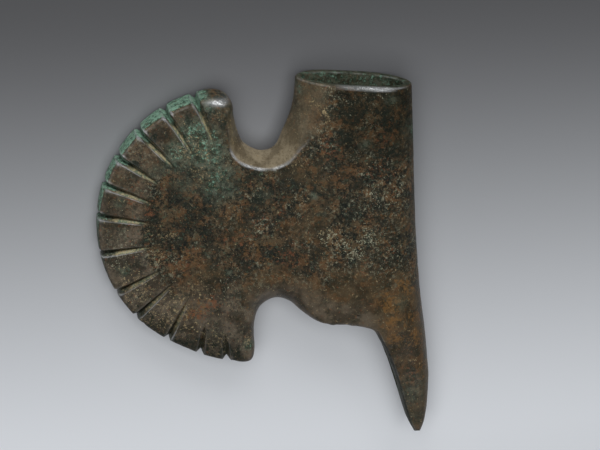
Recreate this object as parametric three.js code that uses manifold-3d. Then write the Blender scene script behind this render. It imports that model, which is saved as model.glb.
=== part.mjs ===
// A cast bronze shaft-hole axe head: a fan-shaped blade of thirteen lobes, a neck, an oval
// socket open at both ends, and a spike that carries on the socket's back wall.
//
// Casting frame, in millimetres: the origin is the fan's centre, +X points to the socket's
// back, +Y runs along the shaft to the mouth, and +Z is across the thickness. The casting is
// the same on both faces. At the end it is turned a few degrees about Y, so that it lies on
// its far face, and moved so that the middle of its underside is the origin.

import * as THREE from "three";
import { mergeVertices } from "three/addons/utils/BufferGeometryUtils.js";
import Module from "manifold-3d";

const wasm = await Module();
wasm.setup();

// ---- Driving dimensions -------------------------------------------------------------------

const DEGREE = Math.PI / 180;

// The fan: its mean radius, the directions of its twelve grooves, and how they are cut.
const FAN_RADIUS = 45.2;
const LOW_LOBES_OUT = 2.5; // how much further out the rim's lowest lobes reach
const GROOVE_DIRECTIONS = [
  106, 119.6, 133.3, 147.3, 160.2, 173.9, 190.5, 209.1, 222.7, 239.7, 255.2, 266.6,
];
const GROOVE_HALF_ANGLE = 1.75;
const GROOVE_DEPTH = 2.1;
const GROOVE_LENGTH = 14;
const LOW_GROOVE_LENGTH = 7; // the last two grooves, under the fan, are shorter
const NOTCH_DEPTH = 1.7;
const FAN_EDGE = { width: 2.4, power: 3.5 };
const FAN_POLE = [-6, -1];

// Half the casting's thickness along X, from the fan's rim to the middle of the socket.
const HALF_THICKNESS = [
  [-46, 4.9], [-24, 6.35], [-4, 7.8], [14, 9.25], [28, 10.75], [38, 11.5], [48, 11.5],
];
// The spike gets thinner from its root to its tip.
const SPIKE_ROOT_Y = -34;
const SPIKE_TIP_Y = -77.2;
const SPIKE_TIP_SHARE = 0.22;
const TIP_ROUNDING = 3.6;

// Outlines. Each point is [x, y, width of the rounded edge, power of its superellipse]:
// a power near 1 is a bevel with a crisp ridge, 2 is a round, and more is a squarer edge.
const UPPER_SIDE = [
  [-10.6, 43.9, 2.4, 3.5], [-6.4, 45.0, 2.4, 3.0], [-2.3, 43.9, 2.6, 2.5], [0.1, 40.6, 2.8, 2.0],
  [0.5, 36.4, 3.0, 1.6], [1.6, 31.6, 3.6, 1.4], [3.9, 26.9, 4.9, 1.3], [9.2, 24.2, 4.3, 1.25],
  [14.0, 25.5, 4.8, 1.25], [16.4, 30.4, 6.6, 1.3], [18.9, 36.3, 8.0, 1.4], [20.4, 42.6, 8.8, 1.6],
  [21.0, 49.2, 11.0, 1.8],
];
const UPPER_BAY = 7; // the point of UPPER_SIDE at the bottom of the bay above the neck
const LOWER_SIDE = [
  [-1.0, -47.4, 2.4, 3.5], [2.6, -48.4, 2.4, 3.0], [5.8, -47.6, 2.4, 2.6], [7.0, -44.2, 2.6, 2.2],
  [6.8, -39.0, 3.2, 2.0], [7.1, -34.0, 4.5, 2.0], [9.0, -29.2, 6.0, 2.0], [13.6, -26.6, 7.2, 2.0],
  [18.4, -27.8, 6.4, 2.0], [22.2, -31.0, 4.2, 2.2], [26.6, -33.9, 2.8, 2.5], [31.4, -35.0, 2.0, 3.0],
  [36.4, -35.3, 2.0, 3.0], [41.4, -36.1, 2.0, 3.0], [46.0, -37.8, 1.8, 2.4], [48.0, -41.0, 1.6, 2.0],
  [50.6, -46.4, 1.6, 2.0], [53.5, -54.0, 1.5, 2.0], [56.2, -62.5, 1.5, 2.0], [59.0, -71.5, 1.2, 2.0],
  [61.8, -77.0, 0.8, 2.0],
];
const LOWER_BAY = 7; // the point of LOWER_SIDE at the top of the bay below the neck
const SPIKE_ROOT = 14; // and the point where the socket's lower rim turns into the spike
const BACK = [
  [59.7, 45.8, 14.0, 1.9], [60.1, 33.5, 13.0, 2.0], [60.6, 20.0, 13.0, 2.0], [61.1, 8.0, 13.0, 2.0],
  [61.5, -3.0, 13.0, 2.0], [62.4, -16.0, 13.0, 2.0], [63.8, -30.0, 12.0, 2.0], [64.9, -39.0, 10.0, 2.0],
  [65.9, -48.0, 8.0, 2.0], [66.6, -57.0, 5.8, 2.0], [66.3, -66.0, 3.8, 2.0], [65.4, -72.5, 2.0, 2.0],
  [64.0, -76.9, 0.8, 2.0],
];
// The points of BACK that face the upper bay's bottom, the lower bay's top and the spike's root.
const BACK_AT_UPPER_BAY = 2;
const BACK_AT_LOWER_BAY = 4;
const BACK_AT_SPIKE = 6;

// The shaft hole, from above the mouth into the hollow of the spike:
// [y, x of its front wall, x of its back wall, half its width].
const BORE = [
  [60, 22.8, 57.0, 8.6], [49, 22.8, 57.0, 8.4], [46, 23.2, 56.6, 8.2], [20, 23.8, 57.2, 8.1],
  [-8, 25.4, 58.6, 8.0], [-30, 27.6, 60.4, 7.8], [-40, 30.0, 61.2, 7.0], [-50, 33.0, 61.6, 5.4],
  [-58, 36.0, 60.6, 3.8], [-66, 40.0, 57.0, 2.0],
];
const BORE_POWER = 2.3;

// The plane that the far face lies on: it passes under the socket and under the fan's rim,
// and whatever the rounded faces would put beyond it is flattened onto it.
const REST_SOCKET = [37, 11.36];
const REST_RIM = [-42, 4.72];

// How finely the surfaces are divided.
const FAN_STEPS = 6;
const EDGE_STEPS = 3;
const SIDE_STEPS = 1.6;
const SEAM_STEPS = 6;
const STRIP_STEPS = 7;
const BORE_SIDES = 28;

const bronze = new THREE.MeshStandardMaterial({ color: 0x4a3b2c, roughness: 0.48, metalness: 0.75 });

// ---- Curves and thickness -----------------------------------------------------------------

const mix = (a, b, t) => a + (b - a) * t;
const clamp01 = (t) => Math.min(1, Math.max(0, t));
const smoothstep = (low, high, v) => {
  const t = clamp01((v - low) / (high - low));
  return t * t * (3 - 2 * t);
};

// The smooth (Catmull-Rom) curve through a list of points; s counts points from the first.
function curveAt(points, s) {
  const i = Math.min(Math.floor(s), points.length - 2);
  const f = s - i;
  const b = points[i];
  const c = points[i + 1];
  const a = points[i - 1] ?? b.map((v, k) => 2 * v - c[k]);
  const d = points[i + 2] ?? c.map((v, k) => 2 * v - b[k]);
  return b.map((v, k) => {
    const leave = (c[k] - a[k]) / 2;
    const arrive = (d[k] - v) / 2;
    const bend = 3 * (c[k] - v) - 2 * leave - arrive;
    const twist = 2 * (v - c[k]) + leave + arrive;
    return v + f * (leave + f * (bend + f * twist));
  });
}

// A point of an outline, with the unit normal that points into the metal; inward is the side
// of the running direction that the metal is on, 1 for left and -1 for right.
function outlineAt(points, s, inward) {
  const [x, y, width, power] = curveAt(points, s);
  const step = 0.02;
  const p = curveAt(points, Math.max(0, s - step));
  const q = curveAt(points, Math.min(points.length - 1, s + step));
  const length = Math.hypot(q[0] - p[0], q[1] - p[1]);
  const normal = [(-inward * (q[1] - p[1])) / length, (inward * (q[0] - p[0])) / length];
  return { x, y, width, power, normal, groove: 0 };
}

function halfThickness(x, y) {
  const last = HALF_THICKNESS[HALF_THICKNESS.length - 1];
  let s = HALF_THICKNESS.length - 1;
  if (x < last[0]) {
    // the list's x values rise steadily, so the position in it is found by bisection
    let low = 0;
    let high = HALF_THICKNESS.length - 1;
    for (let n = 0; n < 24; n++) {
      s = (low + high) / 2;
      if (curveAt(HALF_THICKNESS, s)[0] < x) low = s;
      else high = s;
    }
  }
  const plate = curveAt(HALF_THICKNESS, s)[1];
  const along = clamp01((SPIKE_ROOT_Y - y) / (SPIKE_ROOT_Y - SPIKE_TIP_Y));
  const nose = clamp01((SPIKE_TIP_Y + TIP_ROUNDING - y) / (1.25 * TIP_ROUNDING));
  return plate * (1 - (1 - SPIKE_TIP_SHARE) * along ** 1.05) * Math.sqrt(1 - nose * nose);
}

// Height of the rest plane below the casting's middle plane, at x.
function restDepth(x) {
  const t = (x - REST_RIM[0]) / (REST_SOCKET[0] - REST_RIM[0]);
  return mix(REST_RIM[1], REST_SOCKET[1], t);
}

// ---- Ribs: lines of points across one face, from its middle out to the edge -----------------

// The rounded edge outside the ridge: it runs along the inward direction from the ridge to
// the outline, and falls from the face to the middle plane as a quarter superellipse.
function edgePoints(station, direction) {
  const points = [];
  for (let n = 0; n <= EDGE_STEPS; n++) {
    const angle = (n / EDGE_STEPS) * (Math.PI / 2);
    const out = Math.sin(angle) ** (2 / station.power);
    const fall = n === EDGE_STEPS ? 0 : Math.cos(angle) ** (2 / station.power);
    const reach = station.width * (1 - out);
    const x = station.x + direction[0] * reach;
    const y = station.y + direction[1] * reach;
    points.push([x, y, (halfThickness(x, y) - station.groove * GROOVE_DEPTH) * fall]);
  }
  return points;
}

// A rib of the fan: from the pole out to the ridge, leaving the ridge towards an aim point.
function fanRib(station, direction, aim, grooveLength = GROOVE_LENGTH) {
  const edge = station.seam ? [] : edgePoints(station, direction);
  const ridge = station.seam ? [station.x, station.y] : edge[0];
  const control = [mix(ridge[0], aim[0], 0.5), mix(ridge[1], aim[1], 0.5)];
  const rib = [];
  for (let n = 0; n < FAN_STEPS + (station.seam ? 1 : 0); n++) {
    const t = n / FAN_STEPS;
    const [x, y] = [0, 1].map((k) =>
      (1 - t) ** 2 * FAN_POLE[k] + 2 * t * (1 - t) * control[k] + t * t * ridge[k]);
    const fromRim = Math.hypot(ridge[0] - x, ridge[1] - y) / grooveLength;
    rib.push([x, y, halfThickness(x, y) - station.groove * GROOVE_DEPTH * clamp01(1 - fromRim)]);
  }
  return [...rib, ...edge];
}

// ---- The fan --------------------------------------------------------------------------------

// The rim is round about the fan's centre but for the lowest lobes, which reach further out.
function rimRadius(direction) {
  return FAN_RADIUS + LOW_LOBES_OUT * smoothstep(240, 275, direction);
}

// Where a groove points: the upper ones aim right of the centre, and the lower ones left of it.
function grooveAim(direction) {
  const rise = Math.sin(direction * DEGREE);
  return [1 + 8 * rise ** 3, -3 * (1 - rise * rise)];
}

function rimStation(direction, groove) {
  const radius = rimRadius(direction) - groove * NOTCH_DEPTH;
  const x = radius * Math.cos(direction * DEGREE);
  const y = radius * Math.sin(direction * DEGREE);
  return { x, y, ...FAN_EDGE, groove, direction };
}

// Stations along the rim: three for each groove and two for each lobe between them.
function rimStations() {
  const stations = [];
  GROOVE_DIRECTIONS.forEach((middle, k) => {
    stations.push(rimStation(middle - GROOVE_HALF_ANGLE, 0), rimStation(middle, 1));
    stations.push(rimStation(middle + GROOVE_HALF_ANGLE, 0));
    const next = GROOVE_DIRECTIONS[k + 1];
    if (!next) return;
    stations.push(...[1 / 3, 2 / 3].map((t) => rimStation(mix(middle + 1.2, next - 1.2, t), 0)));
  });
  return stations;
}

const steps = (from, to, perPoint) => {
  const count = Math.round(Math.abs(to - from) * perPoint);
  return Array.from({ length: count + 1 }, (_, n) => mix(from, to, n / count));
};

// The whole outline of the fan, from the upper bay over the rim to the lower bay.
function fanRibs() {
  const upper = steps(UPPER_BAY, 0, SIDE_STEPS).map((s) => outlineAt(UPPER_SIDE, s, -1));
  const lower = steps(0, LOWER_BAY, SIDE_STEPS).map((s) => outlineAt(LOWER_SIDE, s, 1));
  const sideRib = (station, n, all) => {
    const away = all === upper ? all.length - 1 - n : n;
    const share = 1 - smoothstep(0, 5, away);
    const aim = grooveAim(all === upper ? 103 : 269);
    return fanRib(station, station.normal, [0, 1].map((k) => mix(FAN_POLE[k], aim[k], share)));
  };
  const rimRib = (station) => {
    const aim = grooveAim(station.direction);
    const length = Math.hypot(aim[0] - station.x, aim[1] - station.y);
    const inwards = [(aim[0] - station.x) / length, (aim[1] - station.y) / length];
    const low = smoothstep(238, 262, station.direction);
    return fanRib(station, inwards, aim, mix(GROOVE_LENGTH, LOW_GROOVE_LENGTH, low));
  };
  return [...upper.map(sideRib), ...rimStations().map(rimRib), ...lower.map(sideRib)];
}

// ---- The socket and the spike, as rows across from the front outline to the back --------------

const upperBay = outlineAt(UPPER_SIDE, UPPER_BAY, -1);
const lowerBay = outlineAt(LOWER_SIDE, LOWER_BAY, 1);
const ridgeOf = (station) => edgePoints(station, station.normal)[0];

// The seam where the fan's ribs meet the socket's rows, from the upper bay to the lower.
function seamPoint(t) {
  const [a, b] = [ridgeOf(upperBay), ridgeOf(lowerBay)];
  return { x: mix(a[0], b[0], t), y: mix(a[1], b[1], t), groove: 0, seam: true };
}

// One row: the front edge, the face and the back edge. At the mouth the edges run along the
// row itself, so that the rim is flat.
function row(front, back, fromMouth) {
  const span = Math.hypot(back.x - front.x, back.y - front.y);
  const along = [(back.x - front.x) / span, (back.y - front.y) / span];
  const turn = smoothstep(0, 1, fromMouth);
  const inwards = (normal, sign) => {
    const v = [0, 1].map((k) => mix(sign * along[k], normal[k], turn));
    const length = Math.hypot(...v);
    return v.map((c) => c / length);
  };
  const left = front.seam ? [[front.x, front.y]] : edgePoints(front, inwards(front.normal, 1)).reverse();
  const right = edgePoints(back, inwards(back.normal, -1));
  const from = left[left.length - 1];
  const middle = [];
  for (let n = front.seam ? 0 : 1; n < STRIP_STEPS; n++) {
    const x = mix(from[0], right[0][0], n / STRIP_STEPS);
    const y = mix(from[1], right[0][1], n / STRIP_STEPS);
    middle.push([x, y, halfThickness(x, y)]);
  }
  return front.seam ? [...middle, ...right] : [...left, ...middle, ...right];
}

const backAt = (s) => outlineAt(BACK, s, -1);
const scaleTo = (s, from, to, low, high) => mix(low, high, (s - from) / (to - from));

const mouthTop = UPPER_SIDE.length - 1;
const lowerEnd = LOWER_SIDE.length - 1;
const backEnd = BACK.length - 1;
const socketRows = steps(mouthTop, UPPER_BAY, SIDE_STEPS).map((s) => {
  const back = backAt(scaleTo(s, mouthTop, UPPER_BAY, 0, BACK_AT_UPPER_BAY));
  return row(outlineAt(UPPER_SIDE, s, -1), back, mouthTop - s);
});
const neckRows = steps(0, 1, SEAM_STEPS).map((t) =>
  row(seamPoint(t), backAt(mix(BACK_AT_UPPER_BAY, BACK_AT_LOWER_BAY, t)), 1));
const rimRows = steps(LOWER_BAY, SPIKE_ROOT, SIDE_STEPS).map((s) => {
  const back = backAt(scaleTo(s, LOWER_BAY, SPIKE_ROOT, BACK_AT_LOWER_BAY, BACK_AT_SPIKE));
  return row(outlineAt(LOWER_SIDE, s, 1), back, 1);
});
const spikeRows = steps(SPIKE_ROOT, lowerEnd, SIDE_STEPS).map((s) => {
  const back = backAt(scaleTo(s, SPIKE_ROOT, lowerEnd, BACK_AT_SPIKE, backEnd));
  return row(outlineAt(LOWER_SIDE, s, 1), back, 1);
});
const seamRibs = steps(0, 1, SEAM_STEPS).map((t) => fanRib(seamPoint(t), null, FAN_POLE));

// ---- From grids of points to a closed solid ---------------------------------------------------

const farPoint = ([x, y, z]) => [x, y, Math.max(-z, -restDepth(x))];

function gridTriangles(grid, reverse) {
  const triangles = [];
  for (let i = 0; i + 1 < grid.length; i++) {
    for (let j = 0; j + 1 < grid[i].length; j++) {
      const [a, b, c, d] = [grid[i][j], grid[i + 1][j], grid[i + 1][j + 1], grid[i][j + 1]];
      triangles.push(reverse ? [a, c, b] : [a, b, c], reverse ? [a, d, c] : [a, c, d]);
    }
  }
  return triangles;
}

// Positive when the grid's triangles turn anticlockwise seen from +Z.
function facing(grid) {
  return gridTriangles(grid, false).reduce(
    (sum, [a, b, c]) => sum + (b[0] - a[0]) * (c[1] - a[1]) - (b[1] - a[1]) * (c[0] - a[0]), 0);
}

// Triangles to an indexed geometry with shared vertices, without the ones shrunk to a line.
function closedGeometry(triangles) {
  const loose = new THREE.BufferGeometry();
  loose.setAttribute("position", new THREE.Float32BufferAttribute(triangles.flat(2), 3));
  const merged = mergeVertices(loose, 1e-3);
  const index = merged.getIndex().array;
  const kept = [];
  for (let n = 0; n < index.length; n += 3) {
    const [a, b, c] = index.slice(n, n + 3);
    if (a !== b && b !== c && c !== a) kept.push(a, b, c);
  }
  merged.setIndex(kept);
  return merged;
}

function toManifold(geometry) {
  return new wasm.Manifold(new wasm.Mesh({
    numProp: 3,
    vertProperties: new Float32Array(geometry.getAttribute("position").array),
    triVerts: new Uint32Array(geometry.getIndex().array),
  }));
}

function toGeometry(manifold) {
  const mesh = manifold.getMesh();
  const geometry = new THREE.BufferGeometry();
  geometry.setAttribute("position", new THREE.BufferAttribute(new Float32Array(mesh.vertProperties), 3));
  geometry.setIndex([...mesh.triVerts]);
  return geometry;
}

function castingGeometry() {
  const triangles = [];
  for (const grid of [fanRibs(), seamRibs, socketRows, neckRows, rimRows, spikeRows]) {
    const reverse = facing(grid) < 0;
    triangles.push(...gridTriangles(grid, reverse));
    triangles.push(...gridTriangles(grid.map((line) => line.map(farPoint)), !reverse));
  }
  // the flat rim of the mouth and the blunt tip close the end rows against their mirror images
  const mouth = socketRows[0];
  const tip = spikeRows[spikeRows.length - 1];
  triangles.push(...gridTriangles([mouth, mouth.map(farPoint)], true));
  triangles.push(...gridTriangles([tip, tip.map(farPoint)], false));
  return closedGeometry(triangles);
}

// The shaft hole: oval rings, one for each line of BORE, closed by a fan at either end.
function boreGeometry() {
  const rings = BORE.map(([y, front, back, half]) =>
    Array.from({ length: BORE_SIDES + 1 }, (_, n) => {
      const angle = ((n % BORE_SIDES) / BORE_SIDES) * 2 * Math.PI;
      const oval = (v) => Math.sign(v) * Math.abs(v) ** (2 / BORE_POWER);
      const x = mix(front, back, 0.5) + ((back - front) / 2) * oval(Math.cos(angle));
      return [x, y, half * oval(Math.sin(angle))];
    }));
  const centre = ([y, front, back]) => Array(BORE_SIDES + 1).fill([mix(front, back, 0.5), y, 0]);
  const grid = [centre(BORE[0]), ...rings, centre(BORE[BORE.length - 1])];
  return closedGeometry(gridTriangles(grid, true));
}

const casting = toManifold(castingGeometry()).subtract(toManifold(boreGeometry()));

const axeHead = new THREE.Mesh(toGeometry(casting), bronze);
axeHead.name = "axe_head";
axeHead.rotation.y = -Math.atan2(REST_SOCKET[1] - REST_RIM[1], REST_SOCKET[0] - REST_RIM[0]);
const box = new THREE.Box3().setFromObject(axeHead, true);
axeHead.position.set(-(box.min.x + box.max.x) / 2, -(box.min.y + box.max.y) / 2, -box.min.z);

const group = new THREE.Group();
group.add(axeHead);

export default group;
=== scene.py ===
"""A cast bronze shaft-hole axe head lying on a pale floor.

The head is one casting: a fan of thirteen lobes, a neck, an oval socket and a hollow spike. Its
surface is worked out with numpy in the casting's own frame, in millimetres: the origin is the
fan's centre, +X points to the socket's back, +Y runs up the shaft hole and +Z is across the
thickness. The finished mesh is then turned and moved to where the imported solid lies, in metres.
"""

import math
from types import SimpleNamespace

import bmesh
import bpy
import numpy as np
from mathutils import Matrix, Vector


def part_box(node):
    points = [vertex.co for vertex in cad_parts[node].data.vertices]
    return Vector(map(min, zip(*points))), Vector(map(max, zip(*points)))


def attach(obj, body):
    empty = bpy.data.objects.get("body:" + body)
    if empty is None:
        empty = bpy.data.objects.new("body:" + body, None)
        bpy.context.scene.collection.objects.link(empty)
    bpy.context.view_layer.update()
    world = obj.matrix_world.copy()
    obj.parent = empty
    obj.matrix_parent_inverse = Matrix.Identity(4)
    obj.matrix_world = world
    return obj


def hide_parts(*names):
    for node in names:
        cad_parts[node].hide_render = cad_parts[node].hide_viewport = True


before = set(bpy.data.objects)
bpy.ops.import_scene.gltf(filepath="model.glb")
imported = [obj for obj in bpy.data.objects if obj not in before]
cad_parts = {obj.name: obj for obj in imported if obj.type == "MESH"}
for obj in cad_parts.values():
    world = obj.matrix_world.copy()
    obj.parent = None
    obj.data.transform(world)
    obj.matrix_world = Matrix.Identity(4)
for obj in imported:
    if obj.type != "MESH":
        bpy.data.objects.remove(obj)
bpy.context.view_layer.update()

MM = 0.001
scene = bpy.context.scene

# ---- The casting's dimensions, in millimetres ----

FAN_RADIUS = 45.2
LOW_LOBES_OUT = 2.5
GROOVE_DIRECTIONS = np.array([
    106, 119.6, 133.3, 147.3, 160.2, 173.9, 190.5, 209.1, 222.7, 239.7, 255.2, 266.6,
])
GROOVE_HALF_ANGLE = 1.75
GROOVE_DEPTH = 2.1
GROOVE_LENGTH = 14.0
LOW_GROOVE_LENGTH = 7.0
NOTCH_DEPTH = 1.7
FAN_EDGE_WIDTH = 2.4
FAN_EDGE_POWER = 3.5
FAN_POLE = np.array([-6.0, -1.0])

# Half the thickness along the head: x, half thickness.
HALF_THICKNESS = [
    [-46, 4.9], [-24, 6.35], [-4, 7.8], [14, 9.25], [28, 10.75], [38, 11.5], [48, 11.5],
]
SPIKE_ROOT_Y = -34.0
SPIKE_TIP_Y = -77.2
SPIKE_TIP_SHARE = 0.22
TIP_ROUNDING = 3.6

# Outlines: x, y, width of the rounded edge, power of its superellipse.
UPPER_SIDE = [
    [-10.6, 43.9, 2.4, 3.5], [-6.4, 45, 3.2, 2.3], [-2.3, 43.9, 3.4, 2.1], [0.1, 40.6, 3.2, 1.9],
    [0.5, 36.4, 3, 1.6], [1.6, 31.6, 3.6, 1.4], [3.9, 26.9, 4.9, 1.3], [9.2, 24.2, 4.3, 1.25],
    [14, 25.5, 4.8, 1.25], [16.4, 30.4, 6.6, 1.3], [18.9, 36.3, 8, 1.4], [20.4, 42.6, 8.8, 1.6],
    [21, 49.2, 11, 1.8],
]
UPPER_BAY = 7  # UPPER_SIDE's point at the bay's bottom
LOWER_SIDE = [
    [-1, -47.4, 2.4, 3.5], [2.6, -48.4, 2.4, 3], [5.8, -47.6, 2.4, 2.6], [7, -44.2, 2.6, 2.2],
    [6.8, -39, 3.2, 2], [7.1, -34, 4.5, 2], [9, -29.2, 6, 2], [13.6, -26.6, 7.2, 2],
    [18.4, -27.8, 6.4, 2], [22.2, -31, 4.2, 2.2], [26.6, -33.9, 2.8, 2.5], [31.4, -35, 2, 3],
    [36.4, -35.3, 2, 3], [41.4, -36.1, 2, 3], [46, -37.8, 1.8, 2.4], [48, -41, 1.6, 2],
    [50.6, -46.4, 1.6, 2], [53.5, -54, 1.5, 2], [56.2, -62.5, 1.5, 2], [59, -71.5, 1.2, 2],
    [61.8, -77, 0.8, 2],
]
LOWER_BAY = 7  # LOWER_SIDE's point at the bay's top
SPIKE_ROOT = 14  # and where the spike begins
BACK = [
    [59.7, 45.8, 14, 1.9], [60.1, 33.5, 13, 2], [60.6, 20, 13, 2], [61.1, 8, 13, 2],
    [61.5, -3, 13, 2], [62.4, -16, 13, 2], [63.8, -30, 12, 2], [64.9, -39, 10, 2],
    [65.9, -48, 8, 2], [66.6, -57, 5.8, 2], [66.3, -66, 3.8, 2], [65.4, -72.5, 2, 2],
    [64, -76.9, 0.8, 2],
]
# BACK's points that face the upper bay, the lower bay and the spike's root.
BACK_AT_UPPER_BAY = 2
BACK_AT_LOWER_BAY = 4
BACK_AT_SPIKE = 6

# The shaft hole: y, x of its front wall, x of its back wall, half its width.
BORE = [
    [60, 22.8, 57, 8.6], [49, 22.8, 57, 8.4], [46, 23.2, 56.6, 8.2], [20, 23.8, 57.2, 8.1],
    [-8, 25.4, 58.6, 8], [-30, 27.6, 60.4, 7.8], [-40, 30, 61.2, 7], [-50, 33, 61.6, 5.4],
    [-58, 36, 60.6, 3.8], [-66, 40, 57, 2],
]
BORE_POWER = 2.3
MOUTH_FRONT = np.array([21.0, 49.2])
MOUTH_BACK = np.array([59.7, 45.8])
RIM_ROUNDING = 0.8
BORE_FLARE = 0.6

# The plane that the head lies on: x, depth below the middle plane, under the socket and the rim.
REST_SOCKET = (37.0, 11.36)
REST_RIM = (-42.0, 4.72)

# How finely the surfaces are divided, how near points are welded and where the shading breaks.
FAN_STEPS_NEAR = 56
FAN_STEPS_FAR = 20
EDGE_STEPS = 10
STRIP_STEPS = 52
BORE_SIDES = 120
UPPER_STATIONS = 76
LOWER_STATIONS = 70
NOSE_STATIONS = 62
SEAM_STATIONS = 62
LOWER_RIM_STATIONS = 76
SPIKE_STATIONS = 72
CAP_STEPS = 14
WELD = 0.0003
SHARP_ANGLE = math.radians(42)


# ---- Noise and small tools ----

def smoothstep(low, high, value):
    """0 below low, 1 above high, and the cubic 3t^2 - 2t^3 between them."""
    t = np.clip((value - low) / (high - low), 0, 1)
    return t * t * (3 - 2 * t)


def noise(points, size, seed):
    """Smooth value noise from -1 to 1: random numbers on a cubic lattice of the given cell
    size, blended between the lattice points with the same cubic along each axis."""
    cells = 32
    lattice = np.random.default_rng(seed).uniform(-1, 1, (cells, cells, cells))
    scaled = points / size
    cell = np.floor(scaled).astype(int)
    t = scaled - cell
    t = t * t * (3 - 2 * t)
    total = np.zeros(points.shape[:-1])
    for corner in np.ndindex(2, 2, 2):
        weight = np.ones(points.shape[:-1])
        for axis in range(3):
            weight = weight * (t[..., axis] if corner[axis] else 1 - t[..., axis])
        i, j, k = ((cell[..., axis] + corner[axis]) % cells for axis in range(3))
        total += weight * lattice[i, j, k]
    return total


def unit(vectors):
    """Each vector divided by its own length."""
    return vectors / np.maximum(np.linalg.norm(vectors, axis=-1, keepdims=True), 1e-12)


def curve(points, s):
    """The smooth curve through the listed points at s, which counts points from the first. It
    is the cubic whose slope at each point is half the step between that point's neighbours."""
    points = np.asarray(points, float)
    ends = np.vstack([2 * points[0] - points[1], points, 2 * points[-1] - points[-2]])
    s = np.asarray(s, float)
    i = np.clip(np.floor(s).astype(int), 0, len(points) - 2)
    f = (s - i)[..., None]
    a, b, c, d = (ends[i + k] for k in range(4))
    leave, arrive = (c - a) / 2, (d - b) / 2
    bend = 3 * (c - b) - 2 * leave - arrive
    twist = 2 * (b - c) + leave + arrive
    return b + f * (leave + f * (bend + f * twist))


PLATE = curve(HALF_THICKNESS, np.linspace(0, len(HALF_THICKNESS) - 1, 600))


def half_thickness(x, y):
    """Half the casting's thickness: it grows with x from the fan's rim to the socket, and down
    the spike it shrinks to a share of itself and closes round the tip."""
    plate = np.interp(x, PLATE[:, 0], PLATE[:, 1])
    below_first = (x - PLATE[0, 0]) * (PLATE[1, 1] - PLATE[0, 1]) / (PLATE[1, 0] - PLATE[0, 0])
    plate = plate + np.where(x < PLATE[0, 0], below_first, 0)
    along = np.clip((SPIKE_ROOT_Y - y) / (SPIKE_ROOT_Y - SPIKE_TIP_Y), 0, 1)
    nose = np.clip((SPIKE_TIP_Y + TIP_ROUNDING - y) / (1.25 * TIP_ROUNDING), 0, 1)
    return plate * (1 - (1 - SPIKE_TIP_SHARE) * along ** 1.05) * np.sqrt(1 - nose * nose)


def rest_depth(x):
    """Depth of the plane that the head lies on below the casting's middle plane: a line
    through the depth under the rim and the depth under the socket."""
    t = (x - REST_RIM[0]) / (REST_SOCKET[0] - REST_RIM[0])
    return REST_RIM[1] + (REST_SOCKET[1] - REST_RIM[1]) * t


MOUTH_RUN = unit(MOUTH_BACK - MOUTH_FRONT)
MOUTH_NORMAL = np.array([-MOUTH_RUN[1], MOUTH_RUN[0]])


def above_mouth(points):
    """How far each point is above the plane of the mouth."""
    return (points[:, :2] - MOUTH_FRONT) @ MOUTH_NORMAL


# ---- Stations of the outline, and the lines of points that cross a face ----

def outline(points, s, inward):
    """Stations of an outline at the values s: place, edge width, edge power and the unit normal
    into the metal, which is the running direction turned a quarter turn to the inward side."""
    at = curve(points, s)
    step = 0.02
    ahead = curve(points, np.minimum(len(points) - 1, s + step))[:, :2]
    behind = curve(points, np.maximum(0, s - step))[:, :2]
    run = unit(ahead - behind)
    normal = inward * np.stack([-run[:, 1], run[:, 0]], 1)
    return SimpleNamespace(place=at[:, :2], width=at[:, 2], power=at[:, 3], normal=normal)


def edge_points(stations, direction, groove=np.zeros(1)):
    """The rounded edge, one line of points for each station: inwards from the outline by the
    width times 1 - sin(a)^(2/p), and up from the middle plane by the half thickness, less the
    groove, times cos(a)^(2/p), for a from 0 at the ridge to 90 degrees at the outline."""
    angle = np.linspace(0, math.pi / 2, EDGE_STEPS + 1)
    exponent = 2 / stations.power[:, None]
    out = np.sin(angle)[None] ** exponent
    fall = np.cos(angle)[None] ** exponent
    fall[:, -1] = 0
    reach = stations.width[:, None] * (1 - out)
    place = stations.place[:, None] + direction[:, None] * reach[..., None]
    top = half_thickness(place[..., 0], place[..., 1]) - groove[:, None] * GROOVE_DEPTH
    return np.concatenate([place, (top * fall)[..., None]], 2)


def rib_points(ridge, aim, groove, groove_length, steps):
    """Lines from the fan's pole to each ridge point: quadratic curves whose middle control
    point is halfway from the ridge to its aim. A groove's depth fades evenly to nothing over
    its length, measured from the ridge."""
    t = np.linspace(0, 1, steps + 1)[:-1]
    t = 1 - (1 - t) ** 1.25
    control = (ridge + aim) / 2
    t = t[None, :, None]
    place = (1 - t) ** 2 * FAN_POLE + 2 * t * (1 - t) * control[:, None] + t * t * ridge[:, None]
    from_ridge = np.linalg.norm(ridge[:, None] - place, axis=2) / groove_length[:, None]
    depth = groove[:, None] * GROOVE_DEPTH * np.clip(1 - from_ridge, 0, 1)
    top = half_thickness(place[..., 0], place[..., 1]) - depth
    return np.concatenate([place, top[..., None]], 2)


# ---- The fan ----

def groove_aim(direction):
    """Where a rib points: 1 + 8 sin^3 of its direction right of the centre, and 3 cos^2 down."""
    rise = np.sin(np.radians(direction))
    return np.stack([1 + 8 * rise ** 3, -3 * (1 - rise ** 2)], -1)


def rim_directions():
    """Directions of the rim's stations: close together across each groove, and spread evenly
    over the lobes between."""
    across = GROOVE_HALF_ANGLE * np.array([-1.12, -1, -0.88, -0.66, -0.44, -0.22, -0.08, 0.08,
                                           0.22, 0.44, 0.66, 0.88, 1, 1.12])
    directions = []
    for k, middle in enumerate(GROOVE_DIRECTIONS):
        directions.append(middle + across)
        if k + 1 < len(GROOVE_DIRECTIONS):
            low, high = middle + across[-1], GROOVE_DIRECTIONS[k + 1] + across[0]
            count = max(6, round((high - low) / 0.8))
            directions.append(np.linspace(low, high, count + 1)[1:-1])
    return np.concatenate(directions)


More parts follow.
